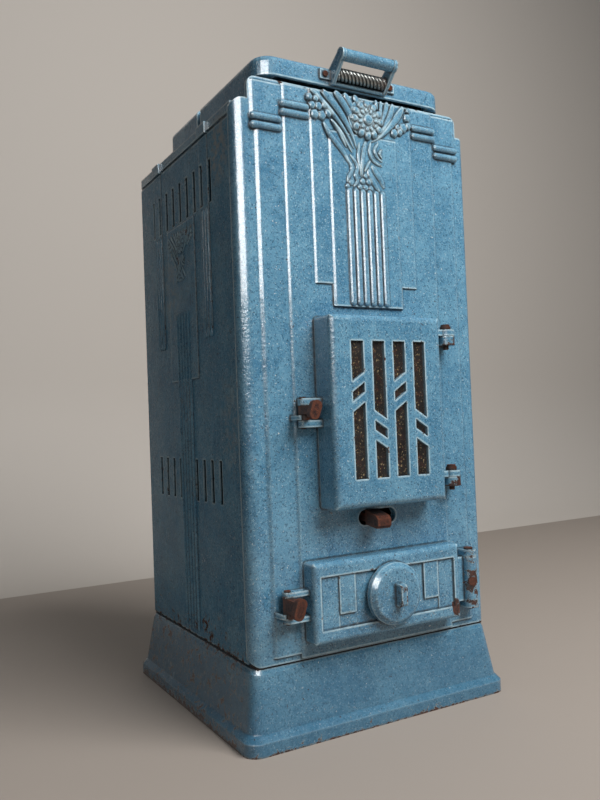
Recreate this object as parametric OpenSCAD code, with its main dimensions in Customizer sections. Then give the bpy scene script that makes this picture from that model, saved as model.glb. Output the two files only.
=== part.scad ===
// Enamelled cast-iron solid-fuel stove of the 1930s, with two doors and a lift-up loading lid.
// Millimetres. +X right along the front, +Y to the back, +Z up; the front faces -Y.
// Origin: on the floor, under the middle of the body.

/* [Body] */
// Width of the front casting
body_w = 400; // [350:1:480]
// Depth of the body, from the front casting's plain face to the back panel's outer face
body_d = 402; // [350:1:483]
// Height of the side panels
side_h = 732; // [640:1:880]
// Wall of the side and back castings
wall = 6; // [5:0.5:8]
// How far the side panels sit inside the front casting's ends
side_inset = 4; // [2:0.5:8]
// Radius of the front casting's upright edges
edge_r = 18; // [10:1:19]
// Dark joint left between neighbouring castings
joint_gap = 3; // [2:0.5:4]

/* [Plinth] */
// Height of the plinth, floor to top
plinth_h = 103; // [85:1:124]
// How far the plinth's foot flange stands out past the body
foot_out = 18; // [14:1:24]
// Height of the foot flange
foot_h = 20; // [14:1:26]
// Wall of the plinth
plinth_wall = 7; // [5:0.5:9]

/* [Front casting] */
// Thickness of the front casting without its relief
front_t = 7; // [6.5:0.5:9]
// Depth of the front casting's returns round its upright edges
return_d = 20; // [20:1:26]
// Height of the outermost step of the front relief
step_one = 3; // [2:0.5:3]
// Height of each further step of the front relief
step_h = 2; // [1:0.5:2]
// Half width of the outer relief step
step_a = 172; // [160:1:172]
// Half width of the second relief step
step_b = 129.5; // [124:0.5:136]
// Half width of the third relief step
step_c = 88.5; // [80:0.5:94]
// Half width of the middle relief step
step_d = 59.5; // [50:0.5:66]
// Half width of the raised middle of the skyline
crown_half = 179; // [174:1:180]
// Height of the raised middle of the skyline over the side panels' tops
crown_rise = 48; // [40:1:60]
// Height of the outer strips over the side panels' tops
strip_rise = 17; // [12:1:22]
// Radius of the half-round cap bars
cap_r = 5; // [4:0.5:6]
// Number of reeds in the front's middle column
front_reeds = 6; // [4:1:8]
// Pitch of the front reeds
front_reed_pitch = 11.5; // [9:0.5:12]

/* [Fire door] */
// Width of the fire door
fire_w = 187; // [170:1:196]
// Height of the fire door
fire_h = 261; // [220:1:280]
// Height of the fire door's lower edge over the plinth
fire_z = 200.5; // [196:0.5:210]
// Depth of the fire door's box
fire_t = 42.5; // [34:0.5:46]
// Wall of the fire door
fire_wall = 6; // [5:0.5:8]
// Width of one window slot
pane_w = 19.5; // [14:0.5:21]
// Pitch of the window slots
pane_pitch = 34.7; // [33:0.1:36]
// Height of the window slots
pane_h = 186; // [160:1:196]
// Distance of the fire door's hinge pins from the body's middle
fire_pin_x = 125; // [118:1:126]
// Distance of the fire door's hinge pins in front of the casting's plain face
fire_pin_out = 21; // [20:0.5:24]

/* [Ash door] */
// Width of the ash door
ash_w = 248; // [220:1:250]
// Height of the ash door
ash_h = 107; // [96:1:112]
// Height of the ash door's lower edge over the plinth
ash_z = 26; // [24:0.5:32]
// Depth of the ash door
ash_t = 26.5; // [22:0.5:30]
// Distance of the ash door's hinge pin from the body's middle
ash_pin_x = 156; // [154:1:158]
// Distance of the ash door's hinge pin in front of the casting's plain face
ash_pin_out = 15; // [14.5:0.5:17]
// Radius of the air wheel
wheel_r = 42.5; // [34:0.5:44]
// Thickness of the air wheel
wheel_t = 14.5; // [12:0.5:16]

/* [Pins and latches] */
// Radius of the door hinge pins
pin_r = 4; // [3:0.5:5]
// Radius of the fire door's hinge knuckles
knuckle_r = 13; // [10:0.5:13.5]
// Radius of the latch pins
latch_pin_r = 3; // [2.5:0.5:3.5]
// Radial clearance of every pin in its moving piece
run_gap = 0.05; // [0.02:0.01:0.1]
// Clearance between faces that only lie beside each other
fit_gap = 0.3; // [0.2:0.05:0.5]

/* [Lid] */
// Width of the lid and of the fixed cover behind it
lid_w = 320; // [280:1:330]
// Height of the lid over the top plate
lid_h = 67.5; // [56:1:78]
// Depth of the fixed cover behind the lid
cover_d = 126; // [100:1:140]
// Distance of the lid's hinge line behind the body's middle
lid_pivot_y = 5; // [-20:1:15]
// Wall of the lid and of the fixed cover
lid_wall = 5; // [4:0.5:6]
// Radius of the lid's hinge barrel
barrel_r = 10; // [8:0.5:10]
// Radius of the handle's grip bar
grip_r = 8.5; // [7:0.5:9]
// Half distance between the outer faces of the handle's cheeks
grip_half = 47; // [40:1:60]

/* [Fire chamber] */
// Half width of the fire chamber's casing
casing_half = 136; // [128:1:140]
// Wall of the fire chamber's casing
casing_wall = 6; // [5:0.5:8]
// Thickness of the firebricks
brick_t = 27; // [20:1:30]
// Height of the firebricks
brick_h = 288; // [200:1:300]
// Radius of the grate
grate_r = 92; // [80:1:94]
// Bore radius of the flue collar
flue_r = 63.5; // [55:0.5:65]
// Height of the flue's axis over the side panels' lower edges
flue_z = 634; // [560:1:640]

/* [Hidden] */
$fn = 64;
eps = 0.01;
over = 1;

enamel = "#4f8fb0";
bare_iron = "#4a3a30";
rusted = "#7a4026";
steel = "#8a8c8c";
firebrick = "#c9b48c";
mica_tint = "#6b4a2c";

// Body planes
half_w = body_w / 2;
half_d = body_d / 2;
front_y = -half_d;
inner_y = front_y + front_t;
slab_t = 3;
floor_z = plinth_h + slab_t;
side_top = floor_z + side_h;
side_x = half_w - side_inset;
side_in = side_x - wall;
side_y0 = front_y + return_d + joint_gap;
side_mid = (side_y0 + half_d) / 2;
plate_edge_z = side_top + 5;
plate_top = plate_edge_z + 13;
relief_a = front_y - step_one;
relief_b = relief_a - step_h;
relief_c = relief_b - step_h;
relief_d = relief_c - step_h;

// Skyline of the front casting
strip_top = side_top + strip_rise;
crown_top = side_top + crown_rise;
outer_cap_top = side_top - 2;
inner_cap_top = outer_cap_top + 23;
cap_pitch = 12;
motif_z = inner_cap_top - 7;
boss_r = 26;
reed_top = side_top - 88;
band_c_z = side_top - 226;
band_d_z = side_top - 257;

// Doors and their openings
fire_lo = plinth_h + fire_z;
fire_hi = fire_lo + fire_h;
fire_y1 = relief_b - 0.5;
fire_y0 = fire_y1 - fire_t;
fire_pin_y = front_y - fire_pin_out;
fire_open_half = fire_w / 2 - 11.5;
fire_open_lo = fire_lo + 12;
fire_open_hi = fire_hi - 12;
ash_lo = plinth_h + ash_z;
ash_hi = ash_lo + ash_h;
ash_y1 = relief_b - 0.5;
ash_y0 = ash_y1 - ash_t;
ash_pin_y = front_y - ash_pin_out;
ash_open_half = 108;
ash_open_lo = ash_lo + 11;
ash_open_hi = ash_hi - 10;
ash_mid_z = (ash_lo + ash_hi) / 2;
pane_top = fire_hi - 36;
pane_lo = pane_top - pane_h;

// Hinge knuckles: the door's lug lies on the frame's lug
fire_lug_t = 9;
frame_lug_t = 13.5;
fire_hinge_z = [fire_lo + 30, fire_lo + 237];
frame_lug_root = front_y - step_h - step_h;
ash_barrel_r = 11.5;
ash_barrel_lo = ash_lo + 18;
ash_barrel_hi = ash_lo + 83;
ash_lug_t = 10;

// Latches
ear_r = 6.8;
fire_latch_x = -fire_w / 2 - 26.5;
fire_latch_y = relief_b - 8.5;
fire_latch_z = fire_lo + 130.5;
fire_ear_t = 9.5;
latch_hub_h = 19.5;
ash_latch_x = -ash_w / 2 - 29.5;
ash_latch_y = relief_b - 8;
ash_latch_z = ash_lo + 52;
ash_ear_t = 7;
ash_hub_h = 26;
hub_r = 6.3;
cam_r = 10;
cam_h = 7;
lever_reach = 35;

// Loading lid and the fixed cover
lid_half = lid_w / 2;
lid_top = plate_top + lid_h;
lip_z = crown_top + 9;
lid_front = front_y + 2;
lid_step_y = inner_y + 9;
pivot_z = lid_top - barrel_r;
seam = 2;
cover_y0 = lid_pivot_y + barrel_r + seam;
cover_y1 = cover_y0 + cover_d;
knuckle_x = 138;
knuckle_len = 15;
hinge_pin_r = 3;
corner_r = 28;
crown_r = 9;
grip_y = lid_front - 29;
grip_z = lid_top + 5.5;
coil_r = 9;
coil_y = lid_front - coil_r - 0.6;
coil_z = lip_z + 14.8;
cheek_t = 6;
mouth_half = 112;
mouth_y0 = -160;
mouth_y1 = -22;
mouth_rim = 8;

// Fire chamber
casing_in = casing_half - casing_wall;
casing_y1 = half_d - 55;
casing_y0 = inner_y + fit_gap;
rail_z = ash_open_lo;
rail_t = 6;
frame_t = 10;
grate_bed = plinth_h + 169;
grate_t = 12;
grate_y = -41;
shaker_z = grate_bed + 13;
slot_half = 32;
slot_r = 10.5;
bar_w = 16;
bar_h = 12;
shaker_angle = -4.3;
knob_y = front_y - 44;
brick_z = grate_bed + fit_gap;
brick_y1 = casing_y1 - casing_wall - fit_gap;
flue_axis_z = floor_z + flue_z;
collar_wall = 5;
collar_flange_r = flue_r + 25;
wheel_y1 = ash_y0 - 1;
wheel_y0 = wheel_y1 - wheel_t;
wheel_lug = 14;
// The collar reaches as far behind as the air wheel's lug does in front
collar_end = -(wheel_y0 - wheel_lug);

// Tie rods
rod_r = 5;
rod_x = side_in - 13;
rod_y = [side_y0 + 34, half_d - wall - 16];

// Side panel pattern
slot_w = 9;
slot_h = 61;
slot_pitch = 29.5;
upper_slot_z = side_top - 99;
lower_slot_z = floor_z + 205;
band_y = 97.5;
side_step = 1.5;
side_reed_r = 4;
side_reed_pitch = 11.6;

// Rectangle with four round corners, from its lowest corner
module rounded(w, h, r) {
    translate([r, 0]) square([w - 2 * r, h]);
    translate([0, r]) square([w, h - 2 * r]);
    for (x = [r, w - r], y = [r, h - r]) translate([x, y]) circle(r);
}

// Rectangle about the origin with four round corners
module rounded_mid(w, h, r) {
    translate([-w / 2, -h / 2]) rounded(w, h, r);
}

// Extrudes a front-view outline (x, z) between two depths
module front_prism(y0, y1) {
    translate([0, y1, 0]) rotate([90, 0, 0]) linear_extrude(y1 - y0) children();
}

// Extrudes a side-view outline (y, z) between two places along X
module side_prism(x0, x1) {
    translate([x0, 0, 0]) rotate([90, 0, 90]) linear_extrude(x1 - x0) children();
}

// Cylinder along Y between two depths
module y_rod(x, z, r, y0, y1) {
    translate([x, y1, z]) rotate([90, 0, 0]) cylinder(r = r, h = y1 - y0);
}

// Cylinder along X between two places
module x_rod(y, z, r, x0, x1) {
    translate([x0, y, z]) rotate([0, 90, 0]) cylinder(r = r, h = x1 - x0);
}

// Upright cylinder between two heights
module z_rod(x, y, r, z0, z1) {
    translate([x, y, z0]) cylinder(r = r, h = z1 - z0);
}

// One soft edge of a relief step: half a cosine wave, 2.2 times as wide as the step is high
function soft_edge(half, y_back, rise, s) = [for (i = [0 : 6]) let (t = s < 0 ? i / 6 : 1 - i / 6)
    [s * (half - 2.2 * rise * t), y_back - rise * (1 - cos(180 * t)) / 2]];

// Raised plate with softly rounded upright edges
module relief_step(half, y_back, rise, z0, z1) {
    translate([0, 0, z0]) linear_extrude(z1 - z0) polygon(concat([[-half, y_back + 4]],
        soft_edge(half, y_back, rise, -1), soft_edge(half, y_back, rise, 1), [[half, y_back + 4]]));
}

// Upright half-round reed with a round head and foot, standing on a plane that faces -Y
module front_reed(x, y, r, z0, z1) {
    z_rod(x, y, r, z0 + r, z1 - r);
    for (z = [z0 + r, z1 - r]) translate([x, y, z]) sphere(r);
}

// Box given by its two corners
module block(a, b) {
    translate(a) cube(b - a);
}

// Plinth: foot flange, sloping wall with round corners, hollow and open below
module plinth() {
    foot_w = body_w + 2 * foot_out;
    foot_l = body_d + 2 * foot_out;
    skirt = 11;
    tip = 2;
    color(enamel) difference() {
        union() {
            linear_extrude(foot_h - 3) rounded_mid(foot_w, foot_l, 20);
            hull() {
                translate([0, 0, foot_h - 3.2])
                    linear_extrude(0.2) rounded_mid(foot_w, foot_l, 20, $fn = 32);
                translate([0, 0, foot_h + 5]) linear_extrude(1)
                    rounded_mid(body_w + 2 * skirt, body_d + 2 * skirt, 18, $fn = 32);
            }
            hull() {
                translate([0, 0, foot_h + 5]) linear_extrude(1)
                    rounded_mid(body_w + 2 * skirt, body_d + 2 * skirt, 18, $fn = 32);
                translate([0, 0, plinth_h - 7])
                    linear_extrude(1) rounded_mid(body_w, body_d, 16, $fn = 32);
                translate([0, 0, plinth_h - 1]) linear_extrude(1)
                    rounded_mid(body_w - 3 * tip, body_d - 3 * tip, 14, $fn = 32);
            }
        }
        hull() {
            translate([0, 0, -over]) linear_extrude(1)
                rounded_mid(body_w + skirt, body_d + skirt, 12, $fn = 32);
            translate([0, 0, plinth_h - 9]) linear_extrude(1)
                rounded_mid(body_w - 2 * plinth_wall, body_d - 2 * plinth_wall, 10, $fn = 32);
        }
        seat = half_w - 30;
        block([-seat, -seat, plinth_h - 12], [seat, seat, plinth_h + over]);
        for (x = [-rod_x, rod_x], y = rod_y) z_rod(x, y, rod_r + 0.5, plinth_h - 12, plinth_h + over);
    }
}

// Base plate: closes the plinth, and its rim keeps the panels in line
module base_plate() {
    seat = half_w - 30.5;
    rim = side_in - fit_gap;
    rim_w = 8;
    color(bare_iron) difference() {
        union() {
            block([-seat, -seat, plinth_h - 8], [seat, seat, plinth_h + over]);
            block([-side_x + 3, front_y + 4, plinth_h], [side_x - 3, half_d - 3, floor_z]);
            difference() {
                block([-rim, inner_y + 1, floor_z - over], [rim, half_d - wall - fit_gap, floor_z + 6]);
                block([-rim + rim_w, inner_y + rim_w, floor_z - 2],
                    [rim - rim_w, half_d - wall - rim_w, floor_z + 7]);
                block([-casing_half - 2, inner_y - over, floor_z],
                    [casing_half + 2, inner_y + 2 * rim_w, floor_z + 7]);
            }
        }
        for (x = [-rod_x, rod_x], y = rod_y) z_rod(x, y, rod_r + 0.5, plinth_h - 12, floor_z + 10);
    }
}

// Front view of the front casting: skyline with a raised middle and round corners
module skyline() {
    translate([-half_w, floor_z]) rounded(body_w, strip_top - floor_z, 12);
    translate([-crown_half, floor_z + 20]) rounded(2 * crown_half, crown_top - floor_z - 20, 12);
}

// Pair of horizontal half-round bars
module cap_bars(x0, x1, z_top, y) {
    for (i = [0, 1]) {
        z = z_top - cap_r - i * cap_pitch;
        x_rod(y, z, cap_r, x0 + cap_r, x1 - cap_r);
        for (x = [x0 + cap_r, x1 - cap_r]) translate([x, y, z]) sphere(cap_r);
    }
}

// Front casting: returns, stepped relief, reeds, hinge lugs and the two door openings
module front_casting() {
    color(enamel) difference() {
        union() {
            intersection() {
                translate([0, 0, floor_z]) linear_extrude(crown_top - floor_z) difference() {
                    translate([-half_w, front_y]) rounded(body_w, 3 * edge_r, edge_r);
                    translate([-half_w - over, front_y + return_d]) square([body_w + 2 * over, body_w]);
                    translate([-half_w + front_t, inner_y])
                        rounded(body_w - 2 * front_t, body_w, 4);
                }
                front_prism(front_y - 10, front_y + 40) skyline();
            }
            relief_step(step_a, front_y, step_one, floor_z + 9, outer_cap_top - 2);
            relief_step(crown_half - 1, front_y, step_one, outer_cap_top - 3, crown_top - 6);
            relief_step(step_b, relief_a, step_h, floor_z + 3, crown_top - 4);
            relief_step(step_c, relief_b, step_h, band_c_z, crown_top - 4);
            relief_step(step_d, relief_c, step_h, band_d_z, motif_z - 25);
            for (i = [0 : front_reeds - 1])
                front_reed((i - (front_reeds - 1) / 2) * front_reed_pitch, relief_d + 1,
                    front_reed_pitch / 2 - 0.5, band_d_z + 1, reed_top);
            for (s = [-1, 1]) scale_x(s) {
                cap_bars(step_b - 42, step_b + 4, inner_cap_top, relief_b);
                cap_bars(step_b + 1, crown_half - 1, outer_cap_top, relief_a);
            }
            y_rod(0, motif_z, boss_r, relief_d - 1, relief_b + 1);
            keeper_lug(fire_latch_x, fire_latch_y, fire_latch_z - latch_hub_h / 2);
            keeper_lug(ash_latch_x, ash_latch_y, ash_latch_z - ash_hub_h / 2);
            // frame lugs of the fire door's hinges
            for (z = fire_hinge_z) {
                z_rod(fire_pin_x, fire_pin_y, knuckle_r, z - frame_lug_t, z);
                block([fire_pin_x - knuckle_r, fire_pin_y, z - frame_lug_t],
                    [fire_pin_x + knuckle_r, front_y + 1, z]);
            }
            // frame lugs of the ash door's hinge
            for (z = [ash_barrel_lo - ash_lug_t - fit_gap, ash_barrel_hi + fit_gap]) {
                z_rod(ash_pin_x, ash_pin_y, ash_barrel_r, z, z + ash_lug_t);
                block([ash_pin_x - ash_barrel_r, ash_pin_y, z],
                    [ash_pin_x + ash_barrel_r, front_y + 1, z + ash_lug_t]);
            }
        }
        block([-fire_open_half, front_y - 20, fire_open_lo], [fire_open_half, inner_y + 9, fire_open_hi]);
        block([-ash_open_half, front_y - 20, ash_open_lo], [ash_open_half, inner_y + 9, ash_open_hi]);
        // slot for the shaker bar
        front_prism(front_y - 20, inner_y + 9) translate([-slot_half, shaker_z - slot_r])
            rounded(2 * slot_half, 2 * slot_r, slot_r - eps);
        z_rod(fire_pin_x, fire_pin_y, pin_r, floor_z, side_top);
        z_rod(ash_pin_x, ash_pin_y, pin_r, floor_z, ash_hi + 20);
    }
}

// Mirrors its children about the body's middle plane when s is -1
module scale_x(s) {
    mirror([s < 0 ? 1 : 0, 0, 0]) children();
}

// One side panel at the right; its outer face looks to +X
module side_panel() {
    color(enamel) difference() {
        union() {
            block([side_in, side_y0, floor_z], [side_x, half_d - edge_r, side_top]);
            translate([0, 0, floor_z]) linear_extrude(side_h) intersection() {
                translate([side_x - 30, half_d - 30]) rounded(30, 30, 9);
                translate([side_in, half_d - 20]) square([30, 30]);
            }
            // raised centre panel
            block([side_x - 1, side_mid - 56, floor_z + 387], [side_x + side_step, side_mid + 56, upper_slot_z - 4]);
            // reeded bands
            for (s = [-1, 1]) {
                block([side_x - 1, side_mid + s * band_y - 16, floor_z + 452],
                    [side_x + side_step - 0.5, side_mid + s * band_y + 16, side_top]);
                for (i = [-1 : 1]) side_reed(side_mid + s * band_y + i * 10, floor_z + 442, upper_slot_z - 4);
            }
            // reeded middle column
            for (i = [-2 : 2])
                side_reed(side_mid + i * side_reed_pitch, floor_z + 8, floor_z + 494);
        }
        for (i = [-4 : 4])
            block([side_in - over, side_mid + i * slot_pitch - slot_w / 2, upper_slot_z],
                [side_x + 9, side_mid + i * slot_pitch + slot_w / 2, upper_slot_z + slot_h]);
        for (s = [-1, 1], i = [0 : 3]) {
            y = side_mid + s * (33.5 + i * slot_pitch);
            block([side_in - over, y - slot_w / 2, lower_slot_z], [side_x + 9, y + slot_w / 2, lower_slot_z + slot_h]);
        }
    }
}

// Half-round reed on the right side panel
module side_reed(y, z0, z1) {
    z_rod(side_x - 1, y, side_reed_r, z0 + side_reed_r, z1 - side_reed_r);
    for (z = [z0 + side_reed_r, z1 - side_reed_r]) translate([side_x - 1, y, z]) sphere(side_reed_r);
}

module right_side_panel() { side_panel(); }
module left_side_panel() { scale_x(-1) side_panel(); }

// Back panel: plain plate with the flue hole and a row of air slots
module back_panel() {
    x = side_in - fit_gap;
    color(enamel) difference() {
        block([-x, half_d - wall, floor_z], [x, half_d, side_top]);
        y_rod(0, flue_axis_z, flue_r + collar_wall + fit_gap, half_d - wall - over, half_d + over);
        for (i = [-4 : 4]) block([i * slot_pitch - slot_w / 2, half_d - wall - over, lower_slot_z],
            [i * slot_pitch + slot_w / 2, half_d + over, lower_slot_z + slot_h]);
        for (a = [45 : 90 : 315]) y_rod(bolt_ring * cos(a), flue_axis_z + bolt_ring * sin(a), 3 + run_gap,
            half_d - wall - over, half_d + over);
    }
}

// Top plate: thin bright edge over a dark recess, two tabs each side and the loading mouth
module top_plate() {
    x_in = side_x - 3;
    y_back = half_d - 3;
    x_front = half_w - front_t - 4;
    color(enamel) difference() {
        union() {
            block([-x_in, side_y0, side_top], [x_in, y_back, plate_edge_z + over]);
            block([-x_front, inner_y + fit_gap, side_top], [x_front, side_y0 + over, plate_top]);
            translate([0, 0, plate_edge_z]) linear_extrude(plate_top - plate_edge_z) {
                translate([-side_x, side_y0 - joint_gap + fit_gap])
                    square([2 * side_x, half_d - side_y0 - 20]);
                intersection() {
                    translate([-side_x, half_d - 50]) rounded(2 * side_x, 50, 10);
                    translate([-side_x, half_d - 25]) square([2 * side_x, 30]);
                }
            }
            for (sx = [-1, 1], sy = [-1, 1])
                block([sx * side_x - (sx > 0 ? 10 : 4), side_mid + sy * band_y - 15, side_top + 2],
                    [sx * side_x + (sx > 0 ? 4 : 10), side_mid + sy * band_y + 15, plate_top]);
            // rim round the loading mouth
            translate([0, 0, plate_top - over]) linear_extrude(mouth_rim + over) difference() {
                translate([-mouth_half - 8, mouth_y0 - 8])
                    rounded(2 * mouth_half + 16, mouth_y1 - mouth_y0 + 16, 30);
                translate([-mouth_half, mouth_y0]) rounded(2 * mouth_half, mouth_y1 - mouth_y0, 22);
            }
        }
        translate([0, 0, side_top - over]) linear_extrude(60) translate([-mouth_half, mouth_y0])
            rounded(2 * mouth_half, mouth_y1 - mouth_y0, 22);
        for (x = [-rod_x, rod_x], y = rod_y) z_rod(x, y, rod_r + 0.5, side_top - over, plate_top + over);
    }
}

// Dome-edged box: outline (a) drawn in at its top along a quarter circle
module crowned(x_half, y0, y1, z0, z1, plan_r, edge) {
    hull() {
        translate([0, 0, z0]) linear_extrude(0.5)
            translate([-x_half, y0]) rounded(2 * x_half, y1 - y0, plan_r, $fn = 32);
        for (a = [0 : 22.5 : 90]) {
            inset = edge * (1 - cos(a));
            translate([0, 0, z1 - edge + edge * sin(a) - 0.1]) linear_extrude(0.1)
                translate([-x_half + inset, y0 + inset])
                    rounded(2 * (x_half - inset), y1 - y0 - 2 * inset, plan_r - inset, $fn = 32);
        }
    }
}

// Fixed cover behind the lid, with the two hinge knuckles
module rear_cover() {
    z0 = plate_top;
    color(enamel) difference() {
        union() {
            intersection() {
                crowned(lid_half, cover_y0 - 60, cover_y1, z0, lid_top, 18, crown_r);
                block([-lid_half, cover_y0, z0 - over], [lid_half, cover_y1 + over, lid_top + over]);
            }
            for (s = [-1, 1]) {
                x0 = s * knuckle_x - knuckle_len / 2;
                x_rod(lid_pivot_y, pivot_z, barrel_r - 0.4, x0, x0 + knuckle_len);
                block([x0, lid_pivot_y, pivot_z - 8], [x0 + knuckle_len, cover_y0 + 2, pivot_z + barrel_r - 0.4]);
            }
        }
        block([-lid_half + lid_wall, cover_y0 + lid_wall, z0 - over],
            [lid_half - lid_wall, cover_y1 - lid_wall - 1, lid_top - lid_wall]);
        x_rod(lid_pivot_y, pivot_z, hinge_pin_r + eps, -lid_half, lid_half);
    }
}

// Loading lid: inverted tray that steps over the front casting's crown
module loading_lid() {
    z0 = plate_top + 0.6;
    y_end = lid_pivot_y;
    color(enamel) difference() {
        union() {
            intersection() {
                crowned(lid_half, lid_front, y_end + 60, z0, lid_top, corner_r, crown_r);
                block([-lid_half, lid_front - over, z0 - over], [lid_half, y_end, lid_top + over]);
            }
            x_rod(lid_pivot_y, pivot_z, barrel_r, -lid_half + crown_r - 2, lid_half - crown_r + 2);
        }
        // hollow
        block([-lid_half + lid_wall, lid_step_y + lid_wall, z0 - over],
            [lid_half - lid_wall, y_end - barrel_r - 0.6, lid_top - lid_wall]);
        block([-lid_half + corner_r, lid_front + lid_wall, lip_z - over],
            [lid_half - corner_r, lid_step_y + 2 * lid_wall, lid_top - lid_wall]);
        block([-lid_half + lid_wall, y_end - barrel_r - 2, z0 - over],
            [lid_half - lid_wall, y_end + over, pivot_z - barrel_r - 1]);
        // step over the crown
        block([-lid_half - over, lid_front - 2 * over, z0 - 2 * over], [lid_half + over, lid_step_y, lip_z]);
        // room for the cover's knuckles
        for (s = [-1, 1]) {
            x0 = s * knuckle_x - knuckle_len / 2 - 0.4;
            block([x0, y_end - barrel_r - 0.5, pivot_z - barrel_r - 2],
                [x0 + knuckle_len + 0.8, y_end + 20, lid_top + over]);
        }
        x_rod(lid_pivot_y, pivot_z, hinge_pin_r + run_gap, -lid_half - over, lid_half + over);
        for (s = [-1, 1]) y_rod(s * (grip_half + 9), coil_z, 2.2 + run_gap,
            lid_front - over, lid_front + lid_wall + 3);
    }
}

// Pins of the lid hinge
module lid_hinge_pins() {
    color(steel) for (s = [-1, 1])
        x_rod(lid_pivot_y, pivot_z, hinge_pin_r, s * knuckle_x - 19, s * knuckle_x + 19);
}

// Handle on the lid's front: two leaning cheeks, the grip bar above and a low bar at the lip
module lid_handle() {
    y_back = lid_front;
    color(enamel) difference() {
        union() {
        for (s = [-1, 1]) {
            x0 = s > 0 ? grip_half - cheek_t : -grip_half;
            side_prism(x0, x0 + cheek_t) difference() {
                union() {
                    translate([grip_y, grip_z]) circle(grip_r + 0.5);
                    polygon([[y_back, lip_z + 1], [y_back, lip_z + 25], [grip_y + 7, grip_z + 5],
                        [grip_y - 9, grip_z - 1], [y_back - 6, lip_z + 1]]);
                }
            }
            // screwed foot beside each cheek
            block([s > 0 ? grip_half - 1 : -grip_half - 17, y_back - 3, coil_z - 7],
                [s > 0 ? grip_half + 17 : -grip_half + 1, y_back, coil_z + 7]);
        }
        x_rod(grip_y, grip_z, grip_r, -grip_half + 1, grip_half - 1);
        x_rod(y_back - 3.6, lip_z + 3.8, 3, -grip_half + 1, grip_half - 1);
        }
        for (s = [-1, 1]) y_rod(s * (grip_half + 9), coil_z, 2.2 + run_gap, y_back - 3 - over, y_back + over);
    }
}

// Spiral roll between the cheeks, drawn here as its plain core
module handle_coil() {
    color(steel) x_rod(coil_y, coil_z, coil_r, -grip_half + cheek_t, grip_half - cheek_t);
}

// Screws through the handle's feet
module lid_handle_screws() {
    color(rusted) for (s = [-1, 1]) {
        x = s * (grip_half + 9);
        y_rod(x, coil_z, 2.2, lid_front - 3, lid_front + lid_wall + 2);
        y_rod(x, coil_z, 4, lid_front - 5.2, lid_front - 3);
    }
}

// Slanted window bars: opening pieces of one slot, about its middle line
module pane_slot(x, z_bar, rise) {
    bar = 14;
    hole = 6.4;
    w = pane_w / 2;
    z_hi = pane_top;
    z_lo = pane_lo;
    edge = hole + bar;
    translate([x, 0]) {
        polygon([[-w, z_hi], [w, z_hi], [w, z_bar + edge + rise], [-w, z_bar + edge - rise]]);
        polygon([[-w, z_bar + hole - rise], [w, z_bar + hole + rise],
            [w, z_bar - hole + rise], [-w, z_bar - hole - rise]]);
        polygon([[-w, z_lo], [w, z_lo], [w, z_bar - edge + rise], [-w, z_bar - edge - rise]]);
    }
}

// Fire door: deep box with soft edges, slanted window bars, hinge lugs and latch ears
module fire_door() {
    half = fire_w / 2;
    soft = 9;
    color(enamel) difference() {
        union() {
            intersection() {
                translate([0, 0, fire_lo]) linear_extrude(fire_h)
                    translate([-half, fire_y0]) rounded(fire_w, fire_t + 2 * soft, soft);
                side_prism(-half, half) translate([fire_y0, fire_lo]) rounded(fire_t + 2 * soft, fire_h, soft);
                front_prism(fire_y0 - over, fire_y1) translate([-half, fire_lo]) rounded(fire_w, fire_h, 5);
            }
            // lugs that lie on the frame's lugs
            for (z = fire_hinge_z) {
                z_rod(fire_pin_x, fire_pin_y, knuckle_r, z + fit_gap, z + fit_gap + fire_lug_t);
                block([half - 2, fire_pin_y - 7, z + fit_gap], [fire_pin_x, fire_pin_y + 7, z + fit_gap + fire_lug_t]);
            }
            latch_ears(fire_latch_x, fire_latch_y, fire_latch_z, latch_hub_h, fire_ear_t, -half + 2);
        }
        block([-half + fire_wall, fire_y0 + fire_wall, fire_lo + fire_wall],
            [half - fire_wall, fire_y1 + over, fire_hi - fire_wall]);
        front_prism(fire_y0 - over, fire_y0 + fire_wall + over) {
            for (i = [0, 2]) pane_slot((i - 1.5) * pane_pitch, pane_lo + 117, 6.5);
            for (i = [1, 3]) pane_slot((i - 1.5) * pane_pitch, pane_lo + 65.5, -6.2);
        }
        for (x = [-window_x, window_x], z = window_z) y_rod(x, z, 2.5, fire_y0 + 3, fire_y0 + fire_wall + over);
        z_rod(fire_pin_x, fire_pin_y, pin_r + run_gap, fire_lo - 5, fire_hi + 5);
        z_rod(fire_latch_x, fire_latch_y, latch_pin_r, fire_latch_z - 40, fire_latch_z + 40);
    }
}
window_x = 1.5 * pane_pitch + pane_w / 2 + 6.5;
window_z = [pane_lo - 6, pane_top + 6];

// Two ears of a latch clevis, reaching left from a door
module latch_ears(x, y, z_mid, gap_h, ear_t, x_root) {
    for (z = [z_mid - gap_h / 2 - fit_gap - ear_t, z_mid + gap_h / 2 + fit_gap]) {
        z_rod(x, y, ear_r, z, z + ear_t);
        block([x, y - ear_r, z], [x_root, y + ear_r, z + ear_t]);
    }
}

// Latch lever: hub on its pin, cam below, arm and oblong thumb pad in front
module latch_lever(x, y, z_mid, hub_h, pad_h) {
    z0 = z_mid - hub_h / 2;
    z1 = z_mid + hub_h / 2;
    pad_r = 7.5;
    color(rusted) difference() {
        union() {
            z_rod(x, y, hub_r, z0, z1);
            translate([x, y, z0]) linear_extrude(cam_h) intersection() {
                circle(cam_r);
                polygon([[0, 0], [-cam_r * 1.1, -2 * cam_r], [cam_r, -2 * cam_r]]);
            }
            block([x - 5.5, y - lever_reach + 8, z0 + cam_h + 0.6], [x + 5.5, y, z1]);
            translate([x, y - lever_reach + 9, (z0 + cam_h + z1) / 2]) rotate([90, 20, 0]) linear_extrude(9) {
                for (s = [-1, 1]) translate([0, s * (pad_h / 2 - pad_r)]) circle(pad_r);
                square([2 * pad_r, pad_h - 2 * pad_r], center = true);
            }
        }
        z_rod(x, y, latch_pin_r + run_gap, z0 - over, z1 + over);
    }
}

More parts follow.
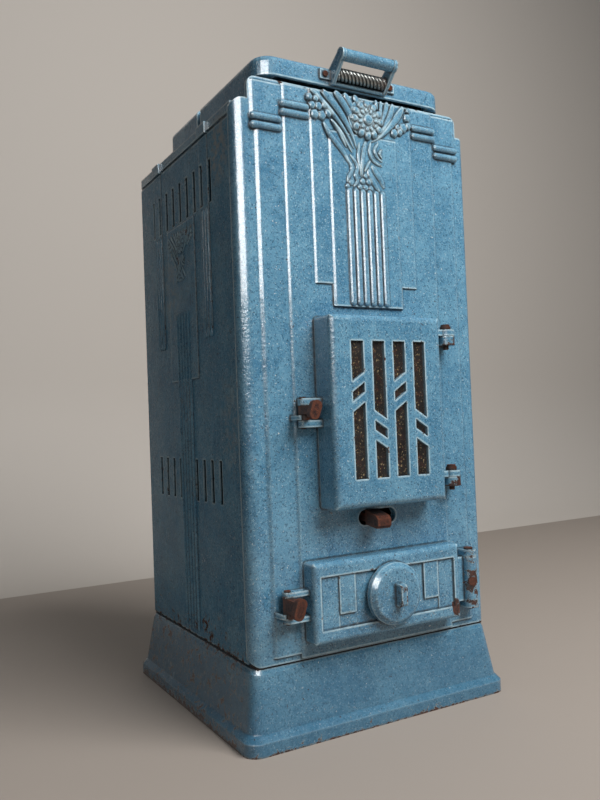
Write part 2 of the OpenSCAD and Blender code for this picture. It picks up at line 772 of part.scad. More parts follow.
module fire_door_latch() { latch_lever(fire_latch_x, fire_latch_y, fire_latch_z, latch_hub_h, 26); }
module ash_door_latch() { latch_lever(ash_latch_x, ash_latch_y, ash_latch_z, ash_hub_h, 28); }

// Pin of a latch, from one ear to the other
module latch_pin(x, y, z_mid, gap_h, ear_t) {
    reach = gap_h / 2 + fit_gap + ear_t;
    color(rusted) {
        z_rod(x, y, latch_pin_r, z_mid - reach - 2, z_mid + reach);
        z_rod(x, y, latch_pin_r + 1.5, z_mid + reach, z_mid + reach + 2);
    }
}

module fire_latch_pin() { latch_pin(fire_latch_x, fire_latch_y, fire_latch_z, latch_hub_h, fire_ear_t); }
module ash_latch_pin() { latch_pin(ash_latch_x, ash_latch_y, ash_latch_z, ash_hub_h, ash_ear_t); }

// Keeper: hooked lug on the front casting whose curved lip the cam turns in behind
module keeper_lug(x, y, z_low) {
    z0 = z_low + 0.4;
    z1 = z_low + cam_h - 0.4;
    gap_r = cam_r + 0.8;
    lip_r = cam_r + 4;
    translate([x, y, z0]) linear_extrude(z1 - z0) intersection() {
        difference() {
            circle(lip_r);
            circle(gap_r);
        }
        polygon([[0, 0], [-3 * lip_r, 0], [-3 * lip_r, -2.1 * lip_r], [-2 * lip_r, -2.4 * lip_r]]);
    }
    block([x - lip_r, y - 1, z0], [x - gap_r, front_y + 1, z1]);
}

// Headed hinge pins of the fire door
module fire_door_pins() {
    color(rusted) for (z = fire_hinge_z) {
        top = z + fire_lug_t + 2 * fit_gap;
        z_rod(fire_pin_x, fire_pin_y, pin_r, z - frame_lug_t - 6, top + over);
        z_rod(fire_pin_x, fire_pin_y, pin_r + 4, top, top + 5);
        z_rod(fire_pin_x, fire_pin_y, pin_r + 2.5, top + 5 - over, top + 8);
    }
}

// Frame behind the window slots that clamps the mica
module window_frame() {
    y0 = fire_y0 + fire_wall + 1.2;
    color(bare_iron) difference() {
        block([-window_x - 7, y0, pane_lo - 13], [window_x + 7, y0 + 3, pane_top + 13]);
        for (i = [0 : 3]) block([(i - 1.5) * pane_pitch - pane_w / 2 - 3, y0 - over, pane_lo - 2],
            [(i - 1.5) * pane_pitch + pane_w / 2 + 3, y0 + 4, pane_top + 2]);
        for (x = [-window_x, window_x], z = window_z) y_rod(x, z, 2.6, y0 - over, y0 + 4);
    }
}

// Sheet of mica behind the slots, drilled for the frame's screws
module mica_pane() {
    y0 = fire_y0 + fire_wall;
    color(mica_tint) difference() {
        block([-window_x - 5, y0, pane_lo - 11], [window_x + 5, y0 + 1.2, pane_top + 11]);
        for (x = [-window_x, window_x], z = window_z) y_rod(x, z, 2.6, y0 - over, y0 + 2);
    }
}

// Screws of the window frame
module window_screws() {
    y1 = fire_y0 + fire_wall + 4.2;
    color(rusted) for (x = [-window_x, window_x], z = window_z) {
        y_rod(x, z, 2.5, fire_y0 + 3, y1);
        y_rod(x, z, 4.5, y1, y1 + 2.5);
    }
}

// Ash door: frame with a recessed field, stepped pads, air holes, barrel and latch ears
module ash_door() {
    half = ash_w / 2;
    soft = 7;
    field_half = half - 11.5;
    field_lo = ash_lo + 18;
    field_hi = ash_hi - 19;
    field_y = ash_y0 + 4;
    color(enamel) difference() {
        union() {
            difference() {
                intersection() {
                    translate([0, 0, ash_lo]) linear_extrude(ash_h)
                        translate([-half, ash_y0]) rounded(ash_w, ash_t + 2 * soft, soft);
                    side_prism(-half, half) translate([ash_y0, ash_lo]) rounded(ash_t + 2 * soft, ash_h, soft);
                    front_prism(ash_y0 - over, ash_y1) translate([-half, ash_lo]) rounded(ash_w, ash_h, 5);
                }
                block([-field_half, ash_y0 - over, field_lo], [field_half, field_y, field_hi]);
                block([-half + 8, field_y + 6, ash_lo + 8], [half - 8, ash_y1 + over, ash_hi - 8]);
            }
            for (s = [-1, 1]) {
                x0 = s > 0 ? 58 : -84;
                block([x0, field_y - 2.5, field_lo + 18], [x0 + 26, field_y + over, field_hi]);
                x1 = s > 0 ? 84 : -field_half;
                block([x1, field_y - 1, field_lo], [x1 + field_half - 84, field_y + over, field_hi]);
            }
            y_rod(0, ash_mid_z, wheel_r - 6, ash_y0 - 0.3, field_y + 2);
            y_rod(0, ash_mid_z, 13, field_y + 5, ash_y1 - 2);
            // barrel and the web that carries it
            z_rod(ash_pin_x, ash_pin_y, ash_barrel_r, ash_barrel_lo, ash_barrel_hi);
            block([half - 2, ash_pin_y, ash_barrel_lo], [ash_pin_x, ash_pin_y + 8, ash_barrel_hi]);
            latch_ears(ash_latch_x, ash_latch_y, ash_latch_z, ash_hub_h, ash_ear_t, -half + 2);
        }
        for (a = [30 : 60 : 330])
            y_rod(24 * cos(a), ash_mid_z + 24 * sin(a), 7, ash_y0 - over, field_y + 7);
        y_rod(0, ash_mid_z, spindle_r, ash_y0 - over, ash_y1 + over);
        z_rod(ash_pin_x, ash_pin_y, pin_r + run_gap, ash_lo, ash_hi);
        z_rod(ash_latch_x, ash_latch_y, latch_pin_r, ash_latch_z - 40, ash_latch_z + 40);
        hinge_screw_place() cylinder(r = 3.5, h = 12);
    }
}
spindle_r = 6;

// Long pin of the ash door's hinge
module ash_door_pin() {
    color(rusted) {
        z_rod(ash_pin_x, ash_pin_y, pin_r, ash_barrel_lo - ash_lug_t - 3, ash_barrel_hi + ash_lug_t + fit_gap);
        z_rod(ash_pin_x, ash_pin_y, pin_r + 2.5, ash_barrel_hi + ash_lug_t + fit_gap,
            ash_barrel_hi + ash_lug_t + fit_gap + 2.5);
    }
}

// Place of the set screw in the barrel, with +Z pointing out of it
module hinge_screw_place() {
    translate([ash_pin_x, ash_pin_y, (ash_barrel_lo + ash_barrel_hi) / 2 - 3])
        rotate([90, 0, -22]) translate([0, 0, pin_r + 1]) children();
}

// Round-headed set screw in the barrel
module ash_hinge_screw() {
    color(rusted) hinge_screw_place() {
        translate([0, 0, fit_gap]) cylinder(r = 3.5 - run_gap, h = 7.5);
        translate([0, 0, 6.8]) cylinder(r = 6.5, h = 3);
    }
}

// Air wheel: thick bevelled disc with an upright lug, turning on its spindle
module air_wheel() {
    bevel = 6;
    color(enamel) difference() {
        union() {
            translate([0, wheel_y1, ash_mid_z]) rotate([90, 0, 0]) rotate_extrude($fn = 96) polygon([[0, 0],
                [wheel_r - 1, 0], [wheel_r, 1], [wheel_r, wheel_t - bevel], [wheel_r - bevel, wheel_t - 0.6],
                [wheel_r - bevel - 2, wheel_t], [0, wheel_t]]);
            block([-5, wheel_y0 - wheel_lug + 5, ash_mid_z - 15], [5, wheel_y0 + over, ash_mid_z + 15]);
            intersection() {
                block([-5, wheel_y0 - wheel_lug, ash_mid_z - 15], [5, wheel_y0, ash_mid_z + 15]);
                for (z = [-10, 0, 10]) x_rod(wheel_y0 - wheel_lug + 5, ash_mid_z + z, 5, -5, 5);
            }
            block([-5, wheel_y0 - wheel_lug, ash_mid_z - 10], [5, wheel_y0, ash_mid_z + 10]);
        }
        y_rod(0, ash_mid_z, spindle_r + run_gap, wheel_y0 + 4, wheel_y1 + over);
    }
}

// Spindle of the air wheel, with its head inside the door
module air_wheel_spindle() {
    color(steel) {
        y_rod(0, ash_mid_z, spindle_r, wheel_y0 + 4.5, ash_y1 - 2);
        y_rod(0, ash_mid_z, spindle_r + 3, ash_y1 - 2, ash_y1 + 2);
    }
}

// Round grate with its shaker bar and the knob outside the front
module shaker_grate() {
    z0 = grate_bed + fit_gap;
    slots = 3;
    reach = grate_y - knob_y;
    color(rusted) difference() {
        union() {
            z_rod(0, grate_y, grate_r, z0, z0 + grate_t);
            translate([0, grate_y, 0]) rotate([0, 0, shaker_angle]) {
                block([-bar_w / 2, -reach + 8, shaker_z - bar_h / 2], [bar_w / 2, -grate_r + 14, shaker_z + bar_h / 2]);
                side_prism(-10.5, 10.5) polygon([[-reach + 34, shaker_z - 9], [-reach + 34, shaker_z + 12],
                    [-reach + 5, shaker_z + 5], [-reach, shaker_z + 1], [-reach, shaker_z - 8],
                    [-reach + 4, shaker_z - 12]]);
            }
        }
        for (i = [-slots : slots]) {
            half = sqrt(pow(grate_r - 14, 2) - pow(i * 22, 2)) - 4;
            block([i * 22 - 6, grate_y - half, z0 - over], [i * 22 + 6, grate_y + half, z0 + grate_t + over]);
        }
    }
}

// Frame plate under the grate, with a low guard ring open at the front for the bar
module grate_frame() {
    x = casing_in - fit_gap;
    y1 = casing_y1 - casing_wall - fit_gap;
    color(bare_iron) difference() {
        union() {
            block([-x, casing_y0 + 2, grate_bed - frame_t], [x, y1, grate_bed]);
            z_rod(0, grate_y, grate_r + 6, grate_bed - over, grate_bed + 8);
        }
        z_rod(0, grate_y, grate_r + 0.5, grate_bed, grate_bed + 10);
        z_rod(0, grate_y, grate_r - 8, grate_bed - frame_t - over, grate_bed + 10);
        block([-40, grate_y - grate_r - 30, grate_bed], [40, grate_y - grate_r / 2, grate_bed + 10]);
    }
}

// Fire chamber casing: three walls round the fire and the ash space, with ledges and rails
module fire_casing() {
    ledge = 10;
    y_in = casing_y1 - casing_wall;
    color(bare_iron) difference() {
        union() {
            difference() {
                block([-casing_half, casing_y0, floor_z], [casing_half, casing_y1, side_top]);
                block([-casing_in, casing_y0 - over, floor_z - over], [casing_in, y_in, side_top + over]);
            }
            for (s = [-1, 1]) {
                x0 = s > 0 ? casing_in - ledge : -casing_in - over;
                block([x0, casing_y0, grate_bed - frame_t - 8], [x0 + ledge + over, y_in + over, grate_bed - frame_t]);
                rail = casing_in - ash_open_half + 14;
                x1 = s > 0 ? casing_in - rail : -casing_in - over;
                block([x1, casing_y0, rail_z - rail_t], [x1 + rail + over, y_in + over, rail_z]);
            }
        }
        y_rod(0, flue_axis_z, flue_r, y_in - over, casing_y1 + over);
    }
}

// Firebricks that stand on the grate frame
module side_brick(s) {
    x0 = s > 0 ? casing_in - fit_gap - brick_t : -casing_in + fit_gap;
    color(firebrick) block([x0, casing_y0 + 6, brick_z], [x0 + brick_t, brick_y1, brick_z + brick_h]);
}

module left_firebrick() { side_brick(-1); }
module right_firebrick() { side_brick(1); }

module rear_firebrick() {
    x = casing_in - 2 * fit_gap - brick_t;
    color(firebrick) block([-x, brick_y1 - brick_t, brick_z], [x, brick_y1, brick_z + brick_h]);
}

// Baffle that stands on the rear firebrick in front of the flue
module flue_baffle() {
    x = casing_in - fit_gap;
    z0 = brick_z + brick_h;
    color(bare_iron) union() {
        block([-x, brick_y1 - brick_t, z0], [x, brick_y1 - brick_t + 5, flue_axis_z + 20]);
        block([-x, brick_y1 - brick_t, z0], [x, brick_y1, z0 + 5]);
    }
}

// Ash pan: open sheet box on the casing's rails, with a turned front grip
module ash_pan() {
    x = ash_open_half - 4;
    sheet = 1.5;
    y0 = casing_y0 + 2;
    y1 = casing_y1 - 60;
    z0 = rail_z + fit_gap;
    color(rusted) union() {
        difference() {
            block([-x, y0, z0], [x, y1, z0 + 62]);
            block([-x + sheet, y0 + sheet, z0 + sheet], [x - sheet, y1 - sheet, z0 + 63]);
        }
        block([-40, y0 + eps, z0 + 58], [40, y0 + 14, z0 + 60]);
    }
}

// Flue collar: flanged spigot from the casing through the back panel
module flue_collar() {
    color(bare_iron) difference() {
        union() {
            y_rod(0, flue_axis_z, flue_r + collar_wall, casing_y1, collar_end);
            y_rod(0, flue_axis_z, collar_flange_r, half_d, half_d + 6);
        }
        y_rod(0, flue_axis_z, flue_r, casing_y1 - over, collar_end + over);
        for (a = [45 : 90 : 315]) y_rod(bolt_ring * cos(a), flue_axis_z + bolt_ring * sin(a), 3.2,
            half_d - over, half_d + 8);
    }
}
bolt_ring = collar_flange_r - 10;

// Bolts of the collar's flange
module collar_bolts() {
    color(rusted) for (a = [45 : 90 : 315]) {
        x = bolt_ring * cos(a);
        z = flue_axis_z + bolt_ring * sin(a);
        y_rod(x, z, 3, half_d - wall - 4, half_d + 6);
        translate([x, half_d + 10, z]) rotate([90, 0, 0]) cylinder(r = 6.5, h = 4, $fn = 6);
    }
}

// Long rods that clamp the base plate, panels and top plate together
module tie_rods() {
    color(steel) for (x = [-rod_x, rod_x], y = rod_y) {
        z_rod(x, y, rod_r, plinth_h - 9, plate_top + 9);
        z_rod(x, y, rod_r + 4, plinth_h - 13, plinth_h - 8);
    }
}

// Hexagon nuts on the rods' upper ends
module tie_rod_nuts() {
    color(rusted) for (x = [-rod_x, rod_x], y = rod_y) difference() {
        translate([x, y, plate_top]) cylinder(r = 9.5, h = 7, $fn = 6);
        z_rod(x, y, rod_r, plate_top - over, plate_top + 8);
    }
}

plinth();
base_plate();
front_casting();
left_side_panel();
right_side_panel();
back_panel();
top_plate();
rear_cover();
loading_lid();
lid_handle();
handle_coil();
lid_handle_screws();
lid_hinge_pins();
fire_door();
fire_door_pins();
window_frame();
mica_pane();
window_screws();
fire_door_latch();
fire_latch_pin();
ash_door();
ash_door_pin();
ash_hinge_screw();
ash_door_latch();
ash_latch_pin();
air_wheel();
air_wheel_spindle();
shaker_grate();
grate_frame();
fire_casing();
left_firebrick();
right_firebrick();
rear_firebrick();
flue_baffle();
ash_pan();
flue_collar();
collar_bolts();
tie_rods();
tie_rod_nuts();
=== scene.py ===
"""Blue-enamelled room stove: finishes, cast ornament and the handle's spiral roll, laid out as an add-on."""

import math

import bmesh
import bpy
import numpy as np
from mathutils import Matrix, Vector


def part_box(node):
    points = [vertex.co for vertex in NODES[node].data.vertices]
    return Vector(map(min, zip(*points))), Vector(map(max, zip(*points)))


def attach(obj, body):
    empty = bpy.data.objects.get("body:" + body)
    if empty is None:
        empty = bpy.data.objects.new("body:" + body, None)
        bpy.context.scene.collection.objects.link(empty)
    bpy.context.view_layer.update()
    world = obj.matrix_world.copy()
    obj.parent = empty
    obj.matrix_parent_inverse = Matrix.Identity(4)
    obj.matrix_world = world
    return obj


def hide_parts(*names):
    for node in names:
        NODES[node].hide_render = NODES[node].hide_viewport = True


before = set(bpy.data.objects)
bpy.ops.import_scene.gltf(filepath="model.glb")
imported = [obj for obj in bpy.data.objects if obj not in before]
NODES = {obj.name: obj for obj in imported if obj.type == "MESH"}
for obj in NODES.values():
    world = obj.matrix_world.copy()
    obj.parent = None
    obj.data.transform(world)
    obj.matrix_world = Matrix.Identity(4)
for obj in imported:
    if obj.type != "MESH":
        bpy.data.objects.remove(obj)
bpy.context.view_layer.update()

bl_info = {
    "name": "Enamelled Room Stove",
    "version": (1, 0, 0),
    "blender": (4, 5, 0),
    "location": "View3D > Sidebar > Stove",
    "description": "Finishes and cast ornament of an enamelled solid-fuel stove",
    "category": "Object",
}

MM = 0.001
SIDE_FACE = 196  # mm from the middle to the plain face of a side panel
FRONT_RELIEF = (-209.6, 850.0)  # mm: depth of the front ornament's ground and height of its middle
SIDE_RELIEF = (197.4, 13.0, 706.0)  # mm: the side ornament's ground from the middle, and its own middle back and up

# Which CAD nodes carry which finish
ENAMELLED = ("plinth", "front_casting", "back_panel", "top_plate", "rear_cover", "loading_lid", "lid_handle",
             "fire_door", "ash_door", "air_wheel")
DULL = ("left_side_panel", "right_side_panel")
SOOTY = ("base_plate", "window_frame", "grate_frame", "fire_casing", "flue_baffle", "flue_collar")
RUSTED = ("lid_handle_screws", "fire_door_pins", "window_screws", "fire_door_latch", "fire_latch_pin",
          "ash_door_pin", "ash_hinge_screw", "ash_door_latch", "ash_latch_pin", "shaker_grate", "ash_pan",
          "collar_bolts", "tie_rod_nuts")
STEEL = ("lid_hinge_pins", "air_wheel_spindle", "tie_rods")
BRICKS = ("left_firebrick", "right_firebrick", "rear_firebrick")


# ---- materials ----

def linear(hex_colour):
    """An sRGB hex colour as linear red, green, blue and alpha."""
    parts = [int(hex_colour[i:i + 2], 16) / 255 for i in (1, 3, 5)]
    return [c / 12.92 if c <= 0.04045 else ((c + 0.055) / 1.055) ** 2.4 for c in parts] + [1.0]


def per_mm(size_mm):
    """Noise scale whose features measure size_mm on object coordinates in metres."""
    return 1.0 / (size_mm * MM)


def add(tree, kind, inputs=(), out=0, **settings):
    """Adds a node and returns one of its outputs: inputs gives each input a number, a tuple, a hex colour,
    a colour property or the output that feeds it, and settings are the node's own properties."""
    node = tree.nodes.new(kind)
    for key, value in settings.items():
        setattr(node, key, value)
    for key, value in dict(inputs).items():
        if isinstance(value, bpy.types.NodeSocket):
            tree.links.new(value, node.inputs[key])
        elif isinstance(value, str):
            node.inputs[key].default_value = linear(value)
        elif node.inputs[key].type == "RGBA":
            node.inputs[key].default_value = (*value[:3], 1.0)
        else:
            node.inputs[key].default_value = value
    return node.outputs[out] if node.outputs else None


def new_material(name):
    """An empty node material, its tree, and its object coordinates whole and split into X, Y and Z."""
    material = bpy.data.materials.new(name)
    material.use_nodes = True
    tree = material.node_tree
    tree.nodes.clear()
    where = add(tree, "ShaderNodeTexCoord", out="Object")
    split = add(tree, "ShaderNodeSeparateXYZ", {"Vector": where}).node.outputs
    return material, tree, where, split


def patches(tree, where, size_mm, low, high, least=0.0, most=1.0, detail=4.0, rough=0.7, warp=0.0):
    """Irregular patches size_mm across: least where a fractal noise is under low, most where it is over high."""
    fractal = add(tree, "ShaderNodeTexNoise", {"Vector": where, "Scale": per_mm(size_mm), "Detail": detail,
                                               "Roughness": rough, "Distortion": warp})
    return add(tree, "ShaderNodeMapRange", {"Value": fractal, "From Min": low, "From Max": high,
                                            "To Min": least, "To Max": most})


def coat(tree, under, over, *factors):
    """Colour over laid on colour under, as thick as the product of the factors."""
    thick = factors[0]
    for factor in factors[1:]:
        thick = add(tree, "ShaderNodeMath", {0: thick, 1: factor}, operation="MULTIPLY")
    return add(tree, "ShaderNodeMix", {0: thick, 6: under, 7: over}, 2, data_type="RGBA")


def places(tree, where, rows):
    """The greatest of soft ellipsoids, each row being its middle and its stretch on X, Y and Z, the radius in mm
    inside which it is full, the radius outside which it is nothing, and its strength."""
    greatest = 0.0
    for middle, stretch, inner, outer, strength in rows:
        local = add(tree, "ShaderNodeVectorMath", {0: where, 1: [c * MM for c in middle]}, operation="SUBTRACT")
        local = add(tree, "ShaderNodeVectorMath", {0: local, 1: [1 / k for k in stretch]}, operation="MULTIPLY")
        away = add(tree, "ShaderNodeVectorMath", {0: local}, "Value", operation="LENGTH")
        near = add(tree, "ShaderNodeMapRange", {"Value": away, "From Min": inner * MM, "From Max": outer * MM,
                                                "To Min": strength, "To Max": 0.0})
        greatest = add(tree, "ShaderNodeMath", {0: greatest, 1: near}, operation="MAXIMUM")
    return greatest


def edge_masks(tree, inner_mm=5.0, outer_mm=6.0):
    """(convex edge, crevice) factors: how open the inside of the casting is within inner_mm of the surface,
    and how shut in the outside is within outer_mm."""
    inside = add(tree, "ShaderNodeAmbientOcclusion", {"Distance": inner_mm * MM}, "AO", samples=8, inside=True,
                 only_local=True)
    outside = add(tree, "ShaderNodeAmbientOcclusion", {"Distance": outer_mm * MM}, "AO", samples=8)
    # the relief's steps are shallow, so both reach their full strength while little is hidden
    return [add(tree, "ShaderNodeMapRange", {"Value": open_sky, "From Min": 0.80, "From Max": 0.985, "To Min": 1.0,
                                             "To Max": 0.0}) for open_sky in (inside, outside)]


def finish_shader(tree, colour, roughness, height, bevel_mm, strength, depth_mm, **shader_inputs):
    """Principled shader whose normal is the edge-softened one with the height laid on it as bump."""
    soft = add(tree, "ShaderNodeBevel", {"Radius": bevel_mm * MM}, samples=4)
    relief = add(tree, "ShaderNodeBump", {"Height": height, "Normal": soft, "Strength": strength,
                                          "Distance": depth_mm * MM})
    inputs = {"Base Color": colour, "Roughness": roughness, "Normal": relief}
    inputs.update({key.replace("_", " "): value for key, value in shader_inputs.items()})
    shader = add(tree, "ShaderNodeBsdfPrincipled", inputs)
    add(tree, "ShaderNodeOutputMaterial", {"Surface": shader})


def rust_colour(tree, where, look):
    """Iron oxide: dark pits, red-brown body and lighter orange bloom."""
    body = coat(tree, look.rust_pit, look.rust_body, patches(tree, where, 6, 0.38, 0.62, detail=5))
    return coat(tree, body, look.rust_bloom, patches(tree, where, 2.2, 0.52, 0.72))


def vitreous_enamel(look, name="vitreous_enamel_blue", gloss=0.5):
    """Vitreous enamel fired on cast iron, a glass coat over a rough casting. It gives the eye a mottled blue with
    specks and burst bubbles, pale glass over the arrises with a painted highlight on them, dirt and painted shade in
    the crevices, an orange-peel gloss, and chips down to rust."""
    material, tree, where, xyz = new_material(name)
    clouds = patches(tree, where, 60, 0.30, 0.72, rough=0.65, warp=0.4)
    colour = coat(tree, look.enamel_deep, look.enamel_light, clouds)
    # the specks of the real glaze are finer than these, which are drawn 2 to 5 mm apart so that they show
    layers = ((look.enamel_pale, 12, 0.42, 0.70, 0.40), (look.enamel_speck, 5, 0.54, 0.68, 0.45),
              (look.enamel_speck, 2.6, 0.55, 0.61, 0.75), (look.enamel_fleck, 2.4, 0.58, 0.64, 0.75),
              ("#e4e6e0", 3.6, 0.665, 0.68, 0.9), (look.grime_and_shade, 4.2, 0.675, 0.69, 0.8))
    for over, size, low, high, strength in layers:
        colour = coat(tree, colour, over, patches(tree, where, size, low, high, most=strength, rough=0.75))
    convex, crevice = edge_masks(tree, 3.0, 3.5)
    # beside is 1 on the side panels and what is level with them behind the front casting, on both sides
    out = add(tree, "ShaderNodeMath", {0: xyz[0]}, operation="ABSOLUTE")
    beside = add(tree, "ShaderNodeMapRange", {"Value": out, "From Min": 184 * MM, "From Max": 186 * MM})
    behind = add(tree, "ShaderNodeMapRange", {"Value": xyz[1], "From Min": -181 * MM, "From Max": -179 * MM})
    beside = add(tree, "ShaderNodeMath", {0: beside, 1: behind}, operation="MULTIPLY")
    # the glass is thin and pale over the edges, with a painted highlight on them too, and dirt and painted shade
    # darken the crevices
    colour = coat(tree, colour, look.edge_glass_and_highlight, convex, patches(tree, where, 10, 0.3, 0.6, 0.35, 0.8))
    grime_and_shade = add(tree, "ShaderNodeMath", {0: crevice, 1: patches(tree, where, 9, 0.3, 0.65, 0.35, 0.9)},
                operation="MULTIPLY")
    colour = coat(tree, colour, look.grime_and_shade, grime_and_shade)
    # soot and scale gather round the air wheel's lug, on the ash door and at both latches
    dirt = places(tree, where, (
        ((-6, -255, 180), (0.7, 1.0, 1.2), 8, 24, 1.0), ((-34, -232, 166), (1.4, 1.0, 1.0), 20, 55, 0.5),
        ((-120, -211, 434), (1, 1, 1), 8, 24, 0.6), ((-153, -212, 181), (1, 1, 1), 9, 28, 0.6),
        ((-140, -205, 150), (1, 1, 1), 10, 32, 0.6), ((0, -210, 286), (1.4, 1, 1), 14, 34, 0.5)))
    colour = coat(tree, colour, look.grime_and_shade, dirt, patches(tree, where, 6, 0.46, 0.62, most=0.75, detail=5))
    # the side panels are dull with old dirt
    film = add(tree, "ShaderNodeMath", {0: beside, 1: patches(tree, where, 40, 0.42, 0.62, 0.0, 0.35, detail=6)},
               operation="MULTIPLY")
    colour = coat(tree, colour, look.side_film, film)
    # rain and ash have run down them in pale streaks, between dark spots
    tall = add(tree, "ShaderNodeMapping", {"Vector": where, "Scale": (1.0, 1.0, 0.2)})
    colour = coat(tree, colour, "#6fa9c4", beside, patches(tree, tall, 5, 0.56, 0.66, most=0.5, detail=6))
    colour = coat(tree, colour, look.grime_and_shade, beside, patches(tree, where, 4, 0.56, 0.64, most=0.6))
    # the air slots and the joint behind the front casting are painted near-black: painted shade inside them
    in_slot_shade = [add(tree, "ShaderNodeMapRange", {"Value": value, "From Min": start * MM, "From Max": end * MM,
                                                "To Min": least, "To Max": 1.0 - least})
               for value, start, end, least in ((out, SIDE_FACE - 3, SIDE_FACE - 1, 1.0), (xyz[1], 180, 184, 1.0),
                                                (xyz[2], 113, 116, 0.0), (xyz[2], 832, 835, 1.0))]
    colour = coat(tree, colour, "#0b0a09", beside, *in_slot_shade)
    # painted shade: the enamel is painted darker towards the floor, low on the plinth
    low_shade = add(tree, "ShaderNodeMapRange", {"Value": xyz[2], "From Min": 60 * MM, "From Max": 135 * MM,
                                             "To Min": 0.5, "To Max": 0.0})
    colour = coat(tree, colour, "#24516b", low_shade)
    # chalky scale lies on the left panel, most near its top front corner
    scale = places(tree, where, (
        ((-SIDE_FACE, -138, 806), (1, 1, 1.6), 14, 40, 1.0), ((-SIDE_FACE, 60, 640), (1, 1, 2), 10, 50, 0.6),
        ((-SIDE_FACE, -150, 420), (1, 1, 2.5), 8, 40, 0.5)))
    colour = coat(tree, colour, "#8f918b", scale, patches(tree, where, 12, 0.46, 0.58, most=0.85, detail=6))
    # chips down to the iron: on arrises, along the foot, low on the side panels, and where hinges and latches rub
    foot = add(tree, "ShaderNodeMapRange", {"Value": xyz[2], "From Min": 2 * MM, "From Max": 14 * MM,
                                            "To Min": 0.13, "To Max": 0.0})
    low_down = add(tree, "ShaderNodeMapRange", {"Value": xyz[2], "From Min": 112 * MM, "From Max": 165 * MM,
                                                "To Min": 0.13, "To Max": 0.0})
    low_down = add(tree, "ShaderNodeMath", {0: low_down, 1: beside}, operation="MULTIPLY")
    rubbed = places(tree, where, (
        ((156, -219, 180), (1, 1, 4), 9, 16, 0.22), ((115, -233, 145), (1, 1, 1.5), 6, 10, 0.34),
        ((128, -224, 322), (1.5, 1.5, 1), 9, 15, 0.25), ((128, -224, 529), (1.5, 1.5, 1), 9, 15, 0.25),
        ((-128, -212, 448), (1.2, 1, 1), 4, 12, 0.16), ((-160, -212, 199), (1.2, 1, 1), 4, 12, 0.16),
        ((-160, -212, 163), (1.2, 1, 1), 4, 12, 0.16), ((0, -262, 182), (1, 1, 1.6), 5, 12, 0.12),
        ((-47, -212, 925), (1, 1, 1), 6, 14, 0.08), ((-SIDE_FACE, -35, 132), (1, 1.4, 1), 6, 18, 0.14)))
    reach = add(tree, "ShaderNodeMath", {0: convex, 1: 0.085, 2: foot}, operation="MULTIPLY_ADD")
    for more in (low_down, rubbed):
        reach = add(tree, "ShaderNodeMath", {0: reach, 1: more}, operation="ADD")
    fracture = patches(tree, where, 12, 0.0, 1.0, detail=6, rough=0.72, warp=0.6)
    fracture = add(tree, "ShaderNodeMath", {0: fracture, 1: reach}, operation="ADD")
    rim = add(tree, "ShaderNodeMapRange", {"Value": fracture, "From Min": 0.675, "From Max": 0.70, "To Max": 0.6})
    chips = add(tree, "ShaderNodeMapRange", {"Value": fracture, "From Min": 0.70, "From Max": 0.72})
    colour = coat(tree, colour, "#b4b5ac", rim)
    colour = coat(tree, colour, rust_colour(tree, where, look), chips)
    # small brown pits lie everywhere
    colour = coat(tree, colour, "#3a2318", patches(tree, where, 5.5, 0.69, 0.71, most=0.8, detail=3, rough=0.6))
    # gloss where the glass is clean, dull over dirt and chips
    rough = patches(tree, where, 30, 0.3, 0.7, 0.15, 0.30, detail=3, rough=0.6)
    dull = add(tree, "ShaderNodeMath", {0: grime_and_shade, 1: film}, operation="MAXIMUM")
    for mask, strength in ((chips, 0.85), (dull, 0.7), (dirt, 0.5)):
        mask = add(tree, "ShaderNodeMath", {0: mask, 1: strength}, operation="MULTIPLY")
        rough = add(tree, "ShaderNodeMath", {0: rough, 1: mask}, operation="MAXIMUM")
    # orange peel of the fired glass, less a step down into each chip
    peel = patches(tree, where, 5, 0.0, 1.0, detail=3, rough=0.6)
    height = add(tree, "ShaderNodeMath", {0: chips, 1: -1.0, 2: peel}, operation="MULTIPLY_ADD")
    finish_shader(tree, colour, rough, height, 1.8, 0.9, 0.7, IOR=1.5, Specular_IOR_Level=gloss, Coat_Weight=gloss,
                  Coat_Roughness=0.06)
    return material


def dull_enamel(look):
    """The same enamel on the side panels, under a film of dirt that hides most of its gloss."""
    return vitreous_enamel(look, "vitreous_enamel_dull", 0.1)


def rusted_iron(look):
    """Cast iron rusted bare in the open air: rough oxide in several browns, pits, and rubbed brighter edges."""
    material, tree, where, _ = new_material("rusted_cast_iron")
    colour = rust_colour(tree, where, look)
    convex, crevice = edge_masks(tree)
    colour = coat(tree, colour, look.rust_bloom, convex, 0.35)
    # dirt and painted shade darken the crevices
    colour = coat(tree, colour, look.grime_and_shade, crevice, 0.75)
    height = patches(tree, where, 3, 0.0, 1.0, detail=6)
    rough = patches(tree, where, 4, 0.3, 0.7, 0.6, 0.9)
    finish_shader(tree, colour, rough, height, 0.8, 0.9, 0.7, Specular_IOR_Level=0.35)
    return material


def sooty_iron(look):
    """Unpainted sand casting inside a stove: brown-black soot over thin rust, matt and grainy."""
    material, tree, where, _ = new_material("sooty_cast_iron")
    colour = coat(tree, look.soot, "#3d2c22", patches(tree, where, 18, 0.4, 0.65, detail=5))
    colour = coat(tree, colour, look.rust_body, patches(tree, where, 4, 0.6, 0.72))
    finish_shader(tree, colour, patches(tree, where, 12, 0.3, 0.7, 0.6, 0.85), patches(tree, where, 2, 0.0, 1.0),
                  0.8, 0.8, 0.4, Specular_IOR_Level=0.35)
    return material


